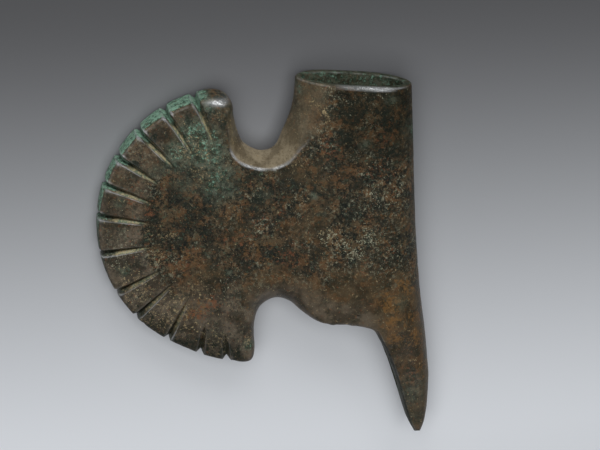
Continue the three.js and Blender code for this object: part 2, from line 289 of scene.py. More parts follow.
def fan_lines(steps):
    """All the lines of points of one face of the fan, in order round its outline from the upper
    bay, over the knob and the rim, to the lower bay. Across a groove the rim and the face dip
    as a V with a slightly rounded bottom."""
    parts = []
    away_upper = np.linspace(UPPER_BAY, 0, UPPER_STATIONS)
    away_lower = np.linspace(0, LOWER_BAY, LOWER_STATIONS)
    for stations, direction, away in [
        (outline(UPPER_SIDE, away_upper, -1), 103, away_upper),
        (outline(LOWER_SIDE, away_lower, 1), 269, away_lower),
    ]:
        share = (1 - smoothstep(0, 3.1, away))[:, None]
        aim = FAN_POLE * (1 - share) + groove_aim(direction) * share
        none = np.zeros(len(away))
        parts.append((stations, stations.normal, aim, none, none + GROOVE_LENGTH))
    directions = rim_directions()
    offset = np.abs(directions[:, None] - GROOVE_DIRECTIONS[None]).min(1) / GROOVE_HALF_ANGLE
    groove = np.clip(1 - np.sqrt(offset ** 2 + 0.01), 0, 1)
    radius = FAN_RADIUS + LOW_LOBES_OUT * smoothstep(240, 275, directions) - groove * NOTCH_DEPTH
    radians = np.radians(directions)
    rim = SimpleNamespace(
        place=np.stack([radius * np.cos(radians), radius * np.sin(radians)], 1),
        width=np.array([FAN_EDGE_WIDTH]), power=np.array([FAN_EDGE_POWER]),
    )
    aim = groove_aim(directions)
    low = smoothstep(238, 262, directions)
    length = GROOVE_LENGTH + (LOW_GROOVE_LENGTH - GROOVE_LENGTH) * low
    parts.insert(1, (rim, unit(aim - rim.place), aim, groove, length))
    lines = []
    for stations, direction, aim, groove, length in parts:
        edge = edge_points(stations, direction, groove)
        lines.append(np.concatenate([
            rib_points(edge[:, 0, :2], aim, groove, length, steps), edge,
        ], 1))
    return np.concatenate(lines)


# ---- The socket and the spike ----

def strip_lines(front, back, has_edge=True, from_mouth=np.ones(1)):
    """Lines of points across one face from the front outline to the back. At the mouth both
    edges run along the line itself, so that the mouth is flat, and further down they run along
    the outline's normals. Without a front edge the line starts on the seam with the fan."""
    along = unit(back.place - front.place)
    turn = smoothstep(0, 1, from_mouth)[:, None]

    def edge(side, across):
        return edge_points(side, unit(side.normal * turn + across * (1 - turn)))

    right = edge(back, -along)
    left = edge(front, along)[:, ::-1] if has_edge else None
    start = left[:, -1, :2] if has_edge else front.place
    t = np.linspace(0, 1, STRIP_STEPS + 1)[None, :, None]
    place = start[:, None] * (1 - t) + right[:, :1, :2] * t
    middle = np.concatenate([place, half_thickness(place[..., 0], place[..., 1])[..., None]], 2)
    if has_edge:
        return np.concatenate([left, middle[:, 1:-1], right], 1)
    return np.concatenate([middle[:, :-1], right], 1)


def back_facing(s, low, high, first, last):
    """Stations of the back that face the values s of another outline: the back runs evenly from
    its point first to its point last while s runs from low to high."""
    return outline(BACK, first + (last - first) * (s - low) / (high - low), -1)


def seam_ends():
    """The ridge points of the upper and the lower bay, where the fan meets the socket."""
    bays = [outline(UPPER_SIDE, np.array([float(UPPER_BAY)]), -1),
            outline(LOWER_SIDE, np.array([float(LOWER_BAY)]), 1)]
    return [edge_points(bay, bay.normal)[0, 0, :2] for bay in bays]


def rounded_mouth(lines):
    """The first lines of the socket with their outer edge rounded: a point at depth d below the
    mouth comes in by r - sqrt(r^2 - (r - d)^2), square to the wall in the section's own plane."""
    depth = -above_mouth(lines[:, 0])
    inset = RIM_ROUNDING - np.sqrt(
        np.clip(RIM_ROUNDING ** 2 - np.clip(RIM_ROUNDING - depth, 0, None) ** 2, 0, None))
    along = np.einsum("nkc,nc->nk", lines[..., :2], unit(lines[:, -1, :2] - lines[:, 0, :2]))
    run = np.stack([np.gradient(along, axis=1), np.gradient(lines[..., 2], axis=1)], 2)
    run[:, 0] = [0, 1]
    run[:, -1] = [0, -1]
    wall = unit(np.stack([-run[..., 1], run[..., 0]], 2))
    move = wall * inset[:, None, None]
    rounded = lines.copy()
    rounded[..., :2] -= move[..., :1] * unit(lines[:, -1:, :2] - lines[:, :1, :2])
    rounded[..., 2] -= move[..., 1]
    return rounded


def socket_and_spike():
    """Four sheets of lines from the mouth down: the socket's nose, the neck, the lower rim and
    the spike."""
    top = len(UPPER_SIDE) - 1
    near_mouth = top - np.array([0, 0.01, 0.022, 0.036, 0.052, 0.07, 0.09, 0.115])
    s = np.concatenate([near_mouth, np.linspace(top - 0.16, UPPER_BAY, NOSE_STATIONS)])
    back = back_facing(s, top, UPPER_BAY, 0, BACK_AT_UPPER_BAY)
    nose = rounded_mouth(strip_lines(outline(UPPER_SIDE, s, -1), back, from_mouth=top - s))

    t = np.linspace(0, 1, SEAM_STATIONS)
    start, end = seam_ends()
    seam = SimpleNamespace(place=start * (1 - t[:, None]) + end * t[:, None])
    back = back_facing(t, 0, 1, BACK_AT_UPPER_BAY, BACK_AT_LOWER_BAY)
    neck = strip_lines(seam, back, has_edge=False)

    s = np.linspace(LOWER_BAY, SPIKE_ROOT, LOWER_RIM_STATIONS)
    back = back_facing(s, LOWER_BAY, SPIKE_ROOT, BACK_AT_LOWER_BAY, BACK_AT_SPIKE)
    lower_rim = strip_lines(outline(LOWER_SIDE, s, 1), back)

    end_point = len(LOWER_SIDE) - 1
    s = np.linspace(SPIKE_ROOT, end_point, SPIKE_STATIONS)
    back = back_facing(s, SPIKE_ROOT, end_point, BACK_AT_SPIKE, len(BACK) - 1)
    spike = strip_lines(outline(LOWER_SIDE, s, 1), back)

    ridge = seam.place
    aim = np.broadcast_to(FAN_POLE, ridge.shape)
    fan_side = []
    for steps in (FAN_STEPS_NEAR, FAN_STEPS_FAR):
        lines = rib_points(ridge, aim, np.zeros(1), np.ones(1), steps)
        end_line = np.concatenate([ridge, half_thickness(ridge[:, 0], ridge[:, 1])[:, None]], 1)
        fan_side.append(np.concatenate([lines, end_line[:, None]], 1))
    return nose, neck, lower_rim, spike, fan_side


# ---- From sheets of points to one closed mesh ----

def far_side(lines):
    """The same sheet on the far face, flattened where it would pass the resting plane."""
    far = lines.copy()
    far[..., 2] = np.maximum(-lines[..., 2], -rest_depth(lines[..., 0]))
    return far


def sheet_faces(lines, first, reverse):
    """Four-sided faces between neighbouring points of a sheet whose first vertex has the number
    first; reverse turns them over."""
    rows, columns = lines.shape[:2]
    number = first + np.arange(rows * columns).reshape(rows, columns)
    corners = [number[:-1, :-1], number[1:, :-1], number[1:, 1:], number[:-1, 1:]]
    if reverse:
        corners.reverse()
    return np.stack(corners, -1).reshape(-1, 4)


def turns_left(lines):
    """True when the sheet's faces run anticlockwise, looked at from +Z."""
    across = lines[1:, 1:, :2] - lines[:-1, :-1, :2]
    other = lines[:-1, 1:, :2] - lines[1:, :-1, :2]
    return (across[..., 0] * other[..., 1] - across[..., 1] * other[..., 0]).sum() > 0


def welded_mesh(name, sheets):
    """One mesh from several sheets, with the points that coincide made one."""
    points, faces, first = [], [], 0
    for lines, reverse in sheets:
        points.append(lines.reshape(-1, 3))
        faces.append(sheet_faces(lines, first, reverse))
        first += len(points[-1])
    mesh = bpy.data.meshes.new(name)
    mesh.from_pydata(np.concatenate(points), [], np.concatenate(faces).tolist())
    work = bmesh.new()
    work.from_mesh(mesh)
    bmesh.ops.remove_doubles(work, verts=work.verts, dist=WELD)
    work.to_mesh(mesh)
    work.free()
    return mesh


def vectors_of(items, name):
    """One vector of each of a mesh's items, as an array."""
    found = np.empty(len(items) * 3, np.float32)
    items.foreach_get(name, found)
    return found.reshape(-1, 3).astype(float)


def points_and_normals(mesh):
    """The mesh's vertices and its vertex normals."""
    return vectors_of(mesh.vertices, "co"), vectors_of(mesh.vertex_normals, "vector")


def set_points(mesh, points):
    """Gives the mesh new places for its vertices."""
    mesh.vertices.foreach_set("co", points.astype(np.float32).ravel())
    mesh.update()


def body_mesh():
    """The closed outer surface: every sheet on both faces, the flat rim of the mouth and the
    blunt tip of the spike."""
    nose, neck, lower_rim, spike, fan_side = socket_and_spike()
    sheets = []
    for near, far in [
        (fan_lines(FAN_STEPS_NEAR), fan_lines(FAN_STEPS_FAR)), fan_side,
        (nose, nose), (neck, neck), (lower_rim, lower_rim), (spike, spike),
    ]:
        reverse = not turns_left(near)
        sheets.append((near, reverse))
        sheets.append((far_side(far), not reverse))
    share = np.linspace(0, 1, CAP_STEPS + 1)[:, None, None]
    for line, reverse in [(nose[:1], True), (spike[-1:], False)]:
        cap = line * (1 - share) + far_side(line) * share
        sheets.append((cap, reverse))
    return welded_mesh("axe head body", sheets)


def bore_walls(y):
    """The shaft hole's front wall, back wall and half width at the heights y."""
    table = np.array(BORE, float)[::-1]
    return (np.interp(y, table[:, 0], table[:, column]) for column in (1, 2, 3))


def bore_mesh():
    """The shaft hole as a closed surface: superellipse rings of the listed half widths, wider
    by the flare near the mouth and tilted there to follow it, with uneven walls."""
    levels = np.concatenate([np.linspace(60, 50, 3), np.linspace(49.4, 44.4, 26),
                             np.linspace(43.5, -66, 70)])
    front, back, half = bore_walls(levels)
    slope = (MOUTH_BACK[1] - MOUTH_FRONT[1]) / (MOUTH_BACK[0] - MOUTH_FRONT[0])
    tilt = slope * smoothstep(20, 42, levels)
    middle = (front + back) / 2
    mouth_y = np.interp(middle, [MOUTH_FRONT[0], MOUTH_BACK[0]], [MOUTH_FRONT[1], MOUTH_BACK[1]])
    depth = np.clip(mouth_y - levels, 0, BORE_FLARE)
    flare = BORE_FLARE - np.sqrt(BORE_FLARE ** 2 - (BORE_FLARE - depth) ** 2)
    angle = np.linspace(0, 2 * math.pi, BORE_SIDES + 1)
    angle[-1] = 0
    cosine, sine = (np.sign(v) * np.abs(v) ** (2 / BORE_POWER)
                    for v in (np.cos(angle), np.sin(angle)))
    reach_x = ((back - front) / 2 + flare)[:, None]
    reach_z = (half + flare)[:, None]
    rings = np.stack([
        middle[:, None] + reach_x * cosine, levels[:, None] + reach_x * cosine * tilt[:, None],
        reach_z * sine,
    ], 2)
    centre = np.stack([middle, levels, 0 * levels], 1)[:, None]
    uneven = 0.14 * noise(rings, 5.0, 41) + 0.08 * noise(rings, 1.8, 42)
    inside = smoothstep(0.0, 2.0, mouth_y[:, None] - rings[..., 1])
    rings += unit(rings - centre) * (uneven * inside)[..., None]
    ends = [np.broadcast_to(centre[k], rings[0].shape)[None] for k in (0, -1)]
    return welded_mesh("shaft hole", [(np.concatenate([ends[0], rings, ends[1]]), True)])


# ---- Relief ----

# The deeper pits on the near face: x, y, radius, depth.
MARKED_PITS = [
    [40.6, -31.2, 0.55, 0.6], [-4.8, -21.3, 0.5, 0.5], [59.2, -47, 0.9, 0.45],
    [33.5, 45.3, 0.9, 0.4], [48, 45.6, 1.1, 0.35], [45, 43.9, 1.2, 0.3],
    [41.5, 46, 0.8, 0.35], [36.5, 44.6, 0.9, 0.3], [-2.6, 33.6, 0.8, 0.35],
    [-9.4, 39, 0.7, 0.3],
]
SCATTERED_PITS = 420


def relief(points):
    """How far each point of the skin is moved along its normal: broad hammered unevenness, finer
    roughness, scattered corrosion pits shaped (1 - d^2)^2, and a ragged lower rim."""
    skin = 0.10 * noise(points, 13.0, 1) + 0.05 * noise(points, 5.0, 2)
    skin += 0.035 * noise(points, 2.2, 3) + 0.022 * noise(points, 1.1, 4)
    ragged = np.exp(-((points[:, 0] - 34) / 9) ** 2) * smoothstep(-32.4, -34.2, points[:, 1])
    skin += ragged * (0.22 * noise(points, 1.7, 5) + 0.12 * noise(points, 0.9, 6))
    crust = smoothstep(0.45, 0.85, noise(points, 3.1, 7))
    crust *= smoothstep(0.1, 0.5, noise(points, 17.0, 8))
    skin += 0.12 * crust
    random = np.random.default_rng(11)
    near = points[:, 2] > 1.5
    scattered = np.stack([
        random.uniform(low, high, SCATTERED_PITS)
        for low, high in ((-46, 66), (-70, 48), (0.45, 1.0), (0.08, 0.26))
    ], 1)
    for x, y, radius, depth in np.concatenate([np.array(MARKED_PITS), scattered]):
        close = near & (np.abs(points[:, 0] - x) < radius) & (np.abs(points[:, 1] - y) < radius)
        away = ((points[close, 0] - x) ** 2 + (points[close, 1] - y) ** 2) / radius ** 2
        skin[close] -= depth * np.clip(1 - away, 0, 1) ** 2
    return skin * (0.25 + 0.75 * smoothstep(0.2, 2.5, np.abs(above_mouth(points))))


# ---- Masks on the finished mesh: corrosion, rubbing, painted highlights and painted shade ----

def spots(skin, places, seed, ragged=0.35):
    """Soft round patches on the near face: for each place x, y, radius and strength, the strength
    times one less the distance over the radius, eased, with the points shaken about by noise."""
    shaken = skin.points[:, :2].copy()
    for axis in range(2):
        for size, share in ((9.0, 1.0), (3.5, 0.5)):
            pattern = seed + 3 * axis + int(size)
            shaken[:, axis] += ragged * share * size * noise(skin.points, size, pattern)
    total = np.zeros(len(shaken))
    for x, y, radius, strength in places:
        away = np.hypot(shaken[:, 0] - x, shaken[:, 1] - y) / radius
        total = np.maximum(total, strength * smoothstep(1.15, 0.1, away))
    return skin.near * total


GREEN_PLACES = [
    [-10, 27, 13, 0.85], [-6, 17, 10, 0.8], [-15, 33, 9, 0.85], [-19, 25, 9, 0.75],
    [-3, 11, 7, 0.6], [-15, 14, 8, 0.4], [-25, 20, 6, 0.35], [-3, 38, 5, 0.35], [-9, 41, 4, 0.7],
    [8, 10, 6, 0.35], [53, 43, 4, 0.7], [57, 30, 7, 0.5], [42.6, 28.6, 3, 0.6],
    [54.5, -26, 5, 0.4], [5.6, -41, 3, 0.8], [-37.7, 8, 3.5, 0.55], [-37, -13, 3.5, 0.6],
    [-2.5, -16, 2, 0.7], [61, 30, 8, 0.75], [60, -60, 12, 0.4], [61, -72, 7, 0.35],
    [27, 4, 3, 0.5], [24, 12, 2.5, 0.6], [-9, -38, 5, 0.3], [-43, 2, 5, 0.35], [21, 45.5, 3.5, 1],
    [19.5, 39, 3, 0.5],
]
TAN_PLACES = [
    [26, 43, 2.4, 0.9], [28.2, 40.5, 2.6, 1.1], [29.9, 37.6, 2.2, 1.1], [-25.5, -2, 5, 0.5],
    [-26.5, -9, 5, 0.6], [-12, -21, 5, 0.5], [-19.5, -1, 2, 0.7], [4.7, -39, 3.5, 0.6],
    [-22, -29, 11, 0.55], [-32, -20, 8, 0.5], [-8, -38, 7, 0.5], [59.3, -47.9, 1.3, 1],
    [-8.7, 26.5, 3, 0.6], [-13, 22, 3, 0.5], [20, 20, 4, 0.35], [-8, 20, 9, 0.45],
    [-14, 29, 6, 0.45], [28.5, -3, 1.3, 1], [30.4, -1.6, 1.1, 1], [31.4, -4.4, 1.3, 1],
    [29.4, -5.6, 1.1, 0.9], [34, -5.6, 1.2, 0.9], [12.5, 6.5, 1.3, 0.9], [16, 1.5, 1.5, 0.7],
    [9, -1.5, 1.2, 0.8], [-1, -46, 4, 0.4], [-16, -33, 6, 0.35],
]
GREY_PLACES = [
    [32, 45.8, 3, 0.8], [36, 43.5, 4, 0.8], [49, 44.8, 4, 0.8], [43, 45.5, 4, 0.7],
    [37, 37.2, 2.2, 0.9], [44.5, 10.7, 5, 0.7], [47.7, 7.2, 4, 0.8], [30.5, -3.7, 5, 1.1],
    [27.9, -5, 4, 1], [44.5, -5.5, 7, 0.95], [41.5, -10, 6, 0.95], [36, -7, 5, 0.9],
    [7.2, 1, 3, 1.1], [0.8, -11.7, 1.6, 1], [-6, -21, 6, 0.5], [15, 8, 5, 0.5], [38, 24, 4, 0.5],
    [50, 36, 3, 0.5], [-36, -6, 7, 0.65], [-40, -11, 7, 0.8], [-33, -22, 6, 0.55], [33, 0, 4, 0.6],
]
RED_PLACES = [
    [-26.3, 5.1, 3.5, 0.9], [-28, 6, 2.5, 0.8], [-34, 12, 6, 0.5], [-10, -26.4, 4, 0.9],
    [-12, -29, 3, 0.8], [48.7, 44, 1.3, 0.9], [2, -4, 9, 0.4], [12, 5, 8, 0.4], [32, 26, 6, 0.55],
    [47, 33, 7, 0.6], [48, 20, 6, 0.5], [20, -12, 7, 0.45], [60, -56, 6, 0.5], [-20, -12, 8, 0.5],
    [-38, 24, 4, 0.4],
]
ORANGE_PLACES = [
    [49.6, -26, 6.5, 0.9], [52.1, -33, 6, 0.85], [55, -39, 5, 0.8], [60.5, -56, 4, 0.5],
    [-18, -8, 6, 0.4], [0, 2, 7, 0.35], [10, -8, 7, 0.35], [62, -40, 5, 0.6], [63.5, -50, 5, 0.5],
    [-14, -28, 8, 0.45], [57, -20, 6, 0.6], [60, -33, 5, 0.6],
]
DARK_PLACES = [
    [6.5, 8, 4, 0.8], [8.8, 11.3, 4, 0.8], [-3, 36, 3.5, 0.7], [42, 38, 3, 0.7], [35, 31, 3, 0.6],
    [46, 45.6, 5, 0.8], [-6.9, -27.6, 2.2, 0.7], [56, -30, 3.5, 0.6], [47, 29, 3, 0.6],
    [25, 10, 4, 0.5], [-10, 18, 4, 0.5], [-33, 17, 4, 0.4], [57, -64, 6, 0.5], [62, -75, 6, 0.6],
    [20, 15, 4, 0.5], [36, 22, 4, 0.4], [40, 40, 9, 0.85], [51, 37, 9, 0.8], [36, 30, 8, 0.75],
    [50, 24, 8, 0.6], [-17, 37, 5, 0.8], [-26, 30, 5, 0.85], [-33, 22, 5, 0.9], [-38, 14, 4, 0.6],
    [-41, -4, 4, 0.4], [-6, 39, 5, 0.7], [-9, 35, 4, 0.5], [30, 12, 7, 0.4], [-15, 5, 6, 0.35],
    [-3.5, 46, 4.5, 0.9], [-8, 46, 3, 0.6],
]


def curvature(mesh, points, normals):
    """How convex the surface is at each vertex: the mean, over its edges, of the neighbour's
    drop below the vertex's tangent plane divided by the edge's length squared, evened out
    twice over the neighbours."""
    ends = np.empty(len(mesh.edges) * 2, np.int32)
    mesh.edges.foreach_get("vertices", ends)
    a, b = ends.reshape(-1, 2).T
    step = points[b] - points[a]
    square = np.maximum((step ** 2).sum(1), 0.02)
    count = np.bincount(a, minlength=len(points)) + np.bincount(b, minlength=len(points))
    total = np.bincount(a, -(step * normals[a]).sum(1) / square, len(points))
    total += np.bincount(b, (step * normals[b]).sum(1) / square, len(points))
    value = total / np.maximum(count, 1)
    for _ in range(2):
        total = np.bincount(a, value[b], len(points)) + np.bincount(b, value[a], len(points))
        value = 0.5 * value + 0.5 * total / np.maximum(count, 1)
    return value


def in_bore(points):
    """How far inside the shaft hole's wall surface a point is: 1 on the wall, 0 away from it."""
    front, back, half = bore_walls(points[:, 1])
    across = np.abs(points[:, 0] - (front + back) / 2) / ((back - front) / 2)
    deep = np.abs(points[:, 2]) / half
    return smoothstep(1.12, 1.03, (across ** BORE_POWER + deep ** BORE_POWER) ** (1 / BORE_POWER))


def bay_bevel(points):
    """The rubbed bevel round the upper bay, 1 where a point is nearer to the bay's outline than
    the bevel's width there and fading towards the knob and the mouth, and the painted highlights
    that run along the bevel's ridge and over the top of the knob."""
    s = np.linspace(0, len(UPPER_SIDE) - 1, 200)
    rail = curve(UPPER_SIDE, s)
    strength = np.interp(s, [3.2, 4.8, 6.0, 8.5, 10.0, 12.0], [0.0, 0.45, 1.0, 1.0, 0.45, 0.2])
    # Strength of the painted highlight along the outline, station by station.
    bright = np.interp(s, [0, 0.3, 1.6, 2.2, 5.4, 6.0, 7.0, 8.4, 9.6],
                       [0, 0.25, 0.25, 0, 0, 1, 1, 0.35, 0])
    close = np.flatnonzero((points[:, 0] > -15) & (points[:, 0] < 33) & (points[:, 1] > 19))
    away = np.linalg.norm(points[close, None, :2] - rail[None, :, :2], axis=2)
    nearest = away.argmin(1)
    inside = away.min(1)
    width = rail[nearest, 2]
    on_knob = s[nearest] < 3
    line = np.where(on_knob, 0.72 * width, width)
    half_line = np.where(on_knob, 1.1, 0.5)
    # ridge holds the painted highlight: a line along the bevel's ridge and over the knob's top.
    band, ridge = np.zeros(len(points)), np.zeros(len(points))
    soft = np.interp(s[nearest], [8, 9.5], [0.09, 0.45])
    within = smoothstep(width * (0.95 + soft), width * (0.95 - soft), inside)
    band[close] = strength[nearest] * within
    ridge[close] = bright[nearest] * smoothstep(half_line, 0.3 * half_line, np.abs(inside - line))
    return band, ridge


def skin_regions(mesh):
    """What the masks are worked out from at each vertex: its place, its normal, how convex the
    skin is there, and the casting's regions, each 1 inside and fading to 0 outside."""
    points, normals = points_and_normals(mesh)
    x, y = points[:, 0], points[:, 1]
    skin = SimpleNamespace(points=points, x=x, y=y, faces_up=normals[:, 1])
    skin.convex = curvature(mesh, points, normals)
    skin.radius = np.hypot(x, y)
    skin.direction = np.degrees(np.arctan2(y, x)) % 360
    half = half_thickness(x, y)
    skin.face_share = points[:, 2] / half
    skin.groove_depth = half - np.abs(points[:, 2])
    skin.near = smoothstep(-0.5, 0.2, skin.face_share)
    skin.on_fan = (x < 1.5) * 1.0
    skin.on_rim = smoothstep(0.93, 0.78, np.abs(skin.face_share)) * smoothstep(38, 42, skin.radius)
    skin.upper_lobes = smoothstep(200, 150, skin.direction) * smoothstep(88, 108, skin.direction)
    skin.lower_ends = smoothstep(35, 43, skin.radius) * smoothstep(205, 225, skin.direction)
    skin.lower_ends *= skin.on_fan
    skin.lobes = skin.on_fan * smoothstep(28, 33, skin.radius) * (1 - skin.on_rim)
    skin.in_groove = skin.on_fan * smoothstep(0.25, 1.2, skin.groove_depth)
    skin.in_groove *= smoothstep(26, 32, skin.radius) * (1 - skin.on_rim)
    skin.knob = smoothstep(-12, -9, x) * smoothstep(26, 32, y) * (x < 8)
    skin.lip = smoothstep(0.80, 0.97, skin.faces_up) * (x > 15) * (y > 35)
    skin.bore = in_bore(points)
    # Painted shade: the spike's wall that faces away from the light, on the -X side.
    skin.spike_wall = smoothstep(-0.25, -0.6, normals[:, 0]) * smoothstep(-34, -40, y) * (x > 30)
    skin.polished, ridge = bay_bevel(points)
    # Painted highlight along the bay bevel's ridge and over the knob, broken up by noise.
    skin.bright_ridge = skin.near * ridge * np.clip(0.85 + 0.9 * noise(points, 2.8, 29), 0.25, 1)
    return skin


def corrosion_masks(skin):
    """Green, tan and grey corrosion."""
    end_green = skin.on_rim * skin.on_fan * (0.35 + 0.65 * skin.upper_lobes)
    end_green *= 1 - 0.85 * skin.knob * smoothstep(-10, -6, skin.x)
    far_green = (1 - skin.near) * smoothstep(0.15, 0.7, noise(skin.points, 15.0, 24))
    green = np.maximum.reduce([
        0.75 * spots(skin, GREEN_PLACES, 100), end_green, 0.6 * far_green, 0.6 * skin.bore,
        0.65 * skin.in_groove * skin.upper_lobes, 0.25 * skin.in_groove, 0.45 * skin.lip,
    ])
    green *= 1 - skin.bright_ridge
    patches = smoothstep(-0.2, 0.5, noise(skin.points, 2.2, 22))
    tan = np.maximum(spots(skin, TAN_PLACES, 200, 0.3),
                     skin.in_groove * (0.35 + 0.25 * skin.upper_lobes + 0.5 * patches))
    grey = np.maximum(spots(skin, GREY_PLACES, 300, 0.3),
                      0.5 * skin.in_groove * smoothstep(150, 180, skin.direction))
    return green, tan, grey


def oxide_and_shade_masks(skin):
    """Red and orange oxides, and black film with painted shade on the spike's shaded wall."""
    far_red = (1 - skin.near) * smoothstep(0.0, 0.6, noise(skin.points, 11.0, 23))
    red = np.maximum(spots(skin, RED_PLACES, 400), 0.5 * far_red)
    rim_line = np.exp(-((skin.x - 36) / 5) ** 2) * smoothstep(-34.3, -35.0, skin.y)
    orange = np.maximum(spots(skin, ORANGE_PLACES, 600), rim_line * (skin.y > -37))
    # Black film, with painted shade on the spike's wall that faces away from the light.
    dark = np.maximum.reduce([
        spots(skin, DARK_PLACES, 500), skin.spike_wall, 0.7 * skin.lower_ends,
    ])
    return red, orange, dark


def wear_highlight_and_shade_masks(skin):
    """Rubbed ridges and painted highlights, dirt and painted shade, and the bay's smooth bevel."""
    worn_and_highlight = smoothstep(0.13, 0.36, skin.convex)
    # Painted highlight: edges that face the light get more of it than the others.
    worn_and_highlight *= 0.15 + 0.85 * smoothstep(-0.1, 0.35, skin.faces_up)
    worn_and_highlight *= np.clip(0.70 + 0.9 * noise(skin.points, 3.6, 21), 0, 1.2)
    worn_and_highlight *= (1 - 0.8 * skin.knob) * (1 - skin.lip)
    below_mouth = -above_mouth(skin.points)
    off_crest = np.maximum(smoothstep(0.9, 0.6, skin.face_share), smoothstep(40, 32, skin.x))
    worn_and_highlight *= 1 - 0.85 * smoothstep(1.6, 1.0, below_mouth) * off_crest
    # Painted highlight along the mouth's near outer edge.
    mouth_edge_highlight = smoothstep(1.5, 0.7, below_mouth) * smoothstep(0.80, 0.90, skin.face_share)
    mouth_edge_highlight *= smoothstep(31, 42, skin.x) * smoothstep(57, 50, skin.x)
    mouth_edge_highlight *= 0.65 + 0.8 * noise(skin.points, 2.4, 27)
    # Painted highlight where the key softbox reflects on the knob's top.
    knob_highlight = np.exp(-((skin.x + 5.4) / 3.0) ** 2 - ((skin.y - 42.6) / 0.9) ** 2)
    worn_and_highlight = np.maximum.reduce([
        worn_and_highlight, skin.bright_ridge, skin.near * mouth_edge_highlight, 1.25 * skin.near * knob_highlight,
    ])
    under_mouth = skin.near * smoothstep(12, 32, skin.y) * smoothstep(29, 38, skin.x)
    # Darker colour and less gloss: dirt in concave places, painted shade on the spike's wall that
    # faces away from the light, and darker inside the shaft hole, under the mouth, on the mouth's
    # rim and on the lower lobes' ends.
    dirt_and_shade = np.maximum.reduce([
        smoothstep(0.04, 0.30, -skin.convex), skin.bore, 0.95 * under_mouth * (1 - skin.polished),
        0.9 * skin.lip, 0.9 * skin.spike_wall, 0.6 * skin.lower_ends,
    ])
    return worn_and_highlight, dirt_and_shade, skin.polished


def film_crust_and_light_masks(skin):
    """Speckled skin, crust and painted light on groove walls facing the light, slate brown film."""
    fading = skin.y + 7 * noise(skin.points, 16.0, 28)
    speckle = np.maximum(smoothstep(-24, -7, fading), 0.75 * smoothstep(6, -2, skin.x))
    speckle *= (1 - 0.6 * skin.lobes) * (1 - skin.polished)
    speckle *= 0.8 + 0.5 * noise(skin.points, 9.0, 25)
    speckle = 0.12 + 0.88 * np.clip(speckle, 0, 1)
    lit_ledge_crust = skin.on_fan * smoothstep(0.06, 0.5, skin.groove_depth)
    lit_ledge_crust *= smoothstep(26, 32, skin.radius) * smoothstep(42, 39.5, skin.radius)
    lit_ledge_crust *= 1 - 0.6 * smoothstep(190, 215, skin.direction)
    lit_ledge_crust *= 1 - skin.knob * smoothstep(-7, -4, skin.x)
    # Painted light: the crust is laid only on groove walls that face the light.
    lit_ledge_crust *= (1 - skin.on_rim) * smoothstep(0.03, 0.18, skin.faces_up)
    on_lobes = skin.lobes * (1 - 0.75 * skin.knob) * (1 - 0.5 * skin.upper_lobes)
    low_fan = 0.8 * skin.on_fan * smoothstep(-16, -28, skin.y)
    slate = 0.95 * np.maximum(on_lobes, low_fan) * (1 - skin.in_groove)
    low_bay = curve(LOWER_SIDE, np.linspace(3.5, 12.5, 90))[:, :2]
    low = np.flatnonzero((skin.y < -12) & (skin.x > -4))
    to_bay = np.linalg.norm(skin.points[low, None, :2] - low_bay[None], axis=2).min(1)
    to_bay += 3 * noise(skin.points[low], 6.0, 26)
    slate[low] = np.maximum(slate[low], 0.85 * smoothstep(13, 4, to_bay))
    return speckle, lit_ledge_crust, slate


def paint_masks(mesh):
    """Writes the masks that the bronze's material reads, three to a colour attribute."""
    skin = skin_regions(mesh)
    for name, masks in [
        ("corrosion", corrosion_masks(skin)), ("oxide_and_shade", oxide_and_shade_masks(skin)),
        ("wear_highlight_shade", wear_highlight_and_shade_masks(skin)), ("skin", film_crust_and_light_masks(skin)),
    ]:
        layer = mesh.color_attributes.new(name, "FLOAT_COLOR", "POINT")
        colours = np.clip(np.stack([*masks, np.ones(len(skin.points))], 1), 0, 1)
        layer.data.foreach_set("color", colours.astype(np.float32).ravel())


# ---- The axe head ----

def add_object(name, data):
    """A new object of the scene that holds the data."""
    made = bpy.data.objects.new(name, data)
    scene.collection.objects.link(made)
    return made


def cut_hole(body, hole):
    """The body less the hole, as a new mesh: a boolean difference made at once."""
    whole, tool = add_object("axe_body_work", body), add_object("axe_hole_work", hole)
    cut = whole.modifiers.new("hole", "BOOLEAN")
    cut.operation = "DIFFERENCE"
    cut.solver = "MANIFOLD"
    cut.object = tool
    graph = bpy.context.evaluated_depsgraph_get()
    result = bpy.data.meshes.new_from_object(whole.evaluated_get(graph))
    for piece in (whole, tool):
        bpy.data.objects.remove(piece)
    return result


def to_rest(points):
    """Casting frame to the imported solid's place: turned about Y so that the resting plane is
    level, scaled to metres, and moved so that the boxes' middles and undersides agree."""
    angle = -math.atan2(REST_SOCKET[1] - REST_RIM[1], REST_SOCKET[0] - REST_RIM[0])
    turn = np.array([
        [math.cos(angle), 0, math.sin(angle)], [0, 1, 0], [-math.sin(angle), 0, math.cos(angle)],
    ])
    turned = points @ turn.T * MM
    low, high = (np.array(corner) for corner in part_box("axe_head"))
    shift = (low + high) / 2 - (turned.min(0) + turned.max(0)) / 2
    shift[2] = low[2] - turned[:, 2].min()
    return turned + shift, turn, shift


def build_axe_head():
    """The casting: its skin with relief, less the shaft hole, with its masks, in place."""
    body = body_mesh()
    points, normals = points_and_normals(body)
    points += normals * relief(points)[:, None]
    points[:, 2] = np.maximum(points[:, 2], -rest_depth(points[:, 0]))
    set_points(body, points)
    mesh = cut_hole(body, bore_mesh())
    paint_masks(mesh)
    placed, turn, shift = to_rest(vectors_of(mesh.vertices, "co"))
    set_points(mesh, placed)
    mesh.polygons.foreach_set("use_smooth", np.ones(len(mesh.polygons), bool))
    mesh.set_sharp_from_angle(angle=SHARP_ANGLE)
    return add_object("axe_casting", mesh), turn, shift


# ---- The bronze's material ----

